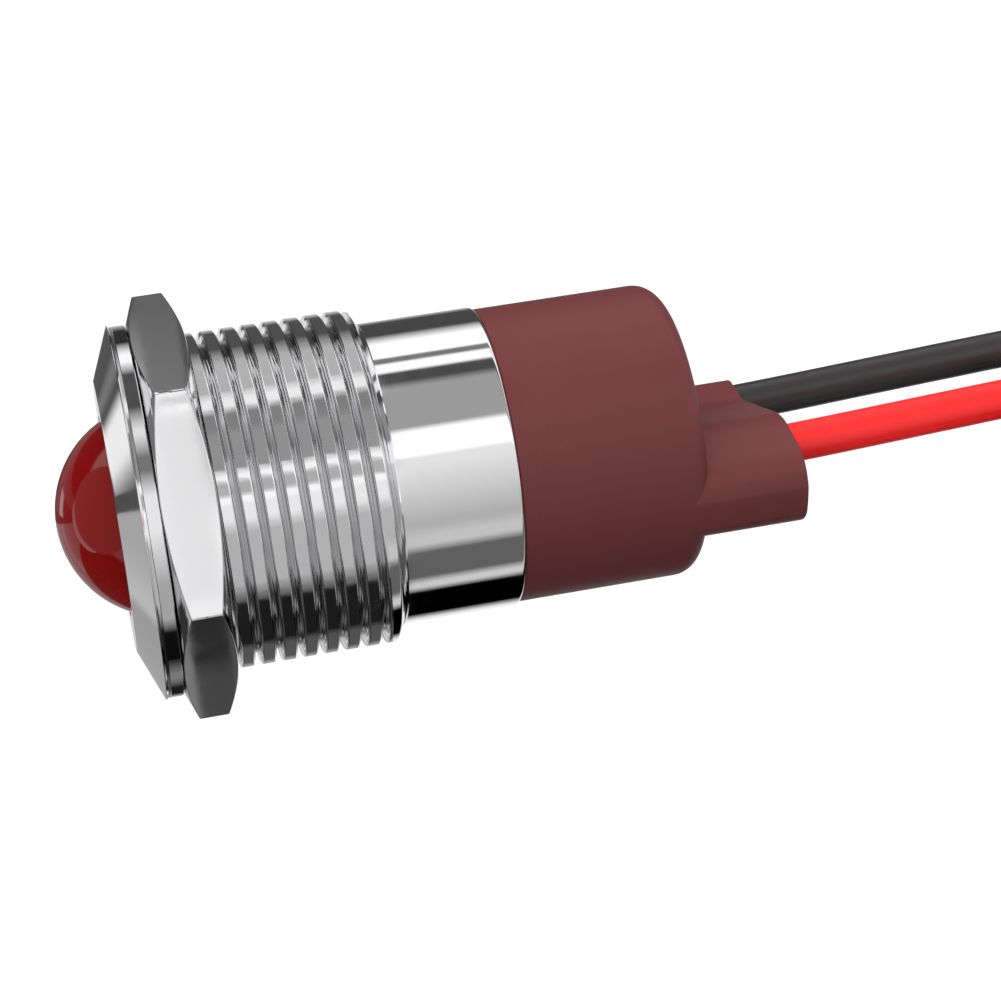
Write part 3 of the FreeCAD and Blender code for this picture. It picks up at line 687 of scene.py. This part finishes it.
UPPER_RINGS = (
    (-220, -106.8, 0.1),
    (-97, -76, 1.12),
    (-66, -63, 0.095),
    (-54, -50, 0.225),
    (-40, -8, 0.1),
)
LOWER_RINGS = (
    (-220, -105, 0.49),
    (-84, -77, 0.62),
    (-70, -8, 0.42),
)
UPPER_RING_ANGLES = (162.4, 179.5)
EDGE_BAND_START = 175.7
EDGE_BAND_LEVEL = 0.095
LOWER_RING_TOP = -150
SIDE_CARD_START = 145
SIDE_CARD_LEVEL = 0.22
WINDOW_FACING = (0.34, -0.93, 0.12)
WINDOW_RADIUS = 47
WINDOW_DISTANCE = 60
WINDOW_LEVEL = 0.32
CARD_SIZE = 80
CARD_PLACE = (10, 30, -50)
KEY_SIZE = (500, 700)
KEY_PLACE = (200, 30, 450)
KEY_TILT = 24
KEY_POWER = 3.0


def new_glow(name):
    """A material that only shines, and its light node."""
    material = bpy.data.materials.new(name)
    material.use_nodes = True
    nodes, links = material.node_tree.nodes, material.node_tree.links
    nodes.clear()
    light = nodes.new("ShaderNodeEmission")
    out = nodes.new("ShaderNodeOutputMaterial")
    links.new(light.outputs["Emission"], out.inputs["Surface"])
    return material, light


def hide_from(piece, *rays):
    """Keeps a studio piece out of some kinds of ray, such as the camera's own."""
    for ray in rays:
        setattr(piece, f"visible_{ray}", False)


bpy.ops.object.select_all(action="DESELECT")
bpy.ops.mesh.primitive_plane_add(size=6, location=(0, 0, FLOOR_HEIGHT * MM))
floor = bpy.context.object
floor.name = "floor"
pale_floor = new_finish("pale_floor", (0.93, 0.93, 0.93), 0.9)
paint(floor, pale_floor)

surround = bpy.data.worlds.new("white_surround")
bpy.context.scene.world = surround
surround.use_nodes = True
surround.node_tree.nodes["Background"].inputs["Color"].default_value = (1, 1, 1, 1)
surround.node_tree.nodes["Background"].inputs["Strength"].default_value = SURROUND
bpy.context.scene.view_settings.view_transform = "Standard"

strip_glow, strip_light = new_glow("strip_glow")
strip_level = strip_glow.node_tree.nodes.new("ShaderNodeAttribute")
strip_level.attribute_name = "level"
strip_glow.node_tree.links.new(strip_level.outputs["Fac"], strip_light.inputs["Strength"])


def level_at(strips, place):
    """The brightness at a place among (start, end, level) strips, which blend across their gaps."""
    for (start, end, level), (start_next, _, level_next) in zip(strips, strips[1:]):
        if place <= end:
            return level
        if place < start_next:
            return level + (level_next - level) * (place - end) / (start_next - end)
    return strips[-1][2]


def tube_level(angle, station):
    """The tube's brightness at an angle about the light's axis, in degrees, and at a station."""
    if station > BARREL_ZONE:
        return level_at(BARREL_STRIPS, angle)
    if station > THREAD_ZONE:
        return level_at(THREAD_STRIPS, angle)
    if station > NUT_ZONE:
        return level_at(NUT_STRIPS, angle)
    if station > WASHER_ZONE:
        return level_at(WASHER_STRIPS, angle)
    ring_start, ring_end = UPPER_RING_ANGLES
    if ring_start < angle < ring_end:
        return EDGE_BAND_LEVEL if angle > EDGE_BAND_START else level_at(UPPER_RINGS, station)
    if angle >= ring_end or angle < LOWER_RING_TOP:
        return level_at(LOWER_RINGS, station)
    if angle > SIDE_CARD_START:
        return SIDE_CARD_LEVEL
    return level_at(FRONT_STRIPS, angle)


ring_edges = [edge for start, end, _ in UPPER_RINGS + LOWER_RINGS for edge in (start, end)]
stations = sorted({*TUBE_ROWS, *ring_edges})
bpy.ops.object.select_all(action="DESELECT")
# The first band starts the tube, and the others join it in edit mode.
for start, end in zip(stations, stations[1:]):
    bpy.ops.mesh.primitive_cylinder_add(
        vertices=TUBE_STEPS,
        radius=TUBE_RADIUS * MM,
        depth=(end - start) * MM,
        end_fill_type="NOTHING",
        location=(0, (start + end) / 2 * MM, 0),
        rotation=(math.pi / 2, 0, 0),
    )
    if bpy.context.mode == "OBJECT":
        bpy.ops.object.transform_apply(location=True, rotation=True, scale=True)
        bpy.ops.object.mode_set(mode="EDIT")
bpy.ops.object.mode_set(mode="OBJECT")
strips = bpy.context.object
strips.name = "strip_tube"
brightness = strips.data.attributes.new("level", "FLOAT", "POINT")
for spot, vertex in zip(brightness.data, strips.data.vertices):
    spot.value = tube_level(math.degrees(math.atan2(vertex.co.z, vertex.co.x)), vertex.co.y / MM)
paint(strips, strip_glow)
hide_from(strips, "camera", "diffuse", "shadow", "transmission")

bpy.ops.object.select_all(action="DESELECT")
bpy.ops.mesh.primitive_circle_add(vertices=96, radius=WINDOW_RADIUS * MM, fill_type="NGON")
window = bpy.context.object
window.name = "front_window"
window.rotation_mode = "QUATERNION"
window.rotation_quaternion = Vector(WINDOW_FACING).to_track_quat("Z", "Y")
window.location = [WINDOW_DISTANCE * MM * c for c in WINDOW_FACING]
window_glow, window_light = new_glow("window_glow")
window_light.inputs["Strength"].default_value = WINDOW_LEVEL
paint(window, window_glow)
hide_from(window, "camera", "diffuse", "shadow", "transmission")

bpy.ops.object.select_all(action="DESELECT")
bpy.ops.mesh.primitive_plane_add(size=CARD_SIZE * MM, location=[MM * c for c in CARD_PLACE])
card = bpy.context.object
card.name = "dark_card"
paint(card, new_finish("card_black", (0.01, 0.01, 0.01), 0.9))
hide_from(card, "camera", "glossy", "shadow", "transmission")

key = bpy.data.lights.new("soft_key", "AREA")
key.shape = "RECTANGLE"
key.size, key.size_y = [MM * side for side in KEY_SIZE]
key.energy = KEY_POWER
key_light = bpy.data.objects.new("soft_key", key)
bpy.context.scene.collection.objects.link(key_light)
key_light.location = [MM * c for c in KEY_PLACE]
key_light.rotation_euler = (0, math.radians(KEY_TILT), 0)
hide_from(key_light, "glossy")
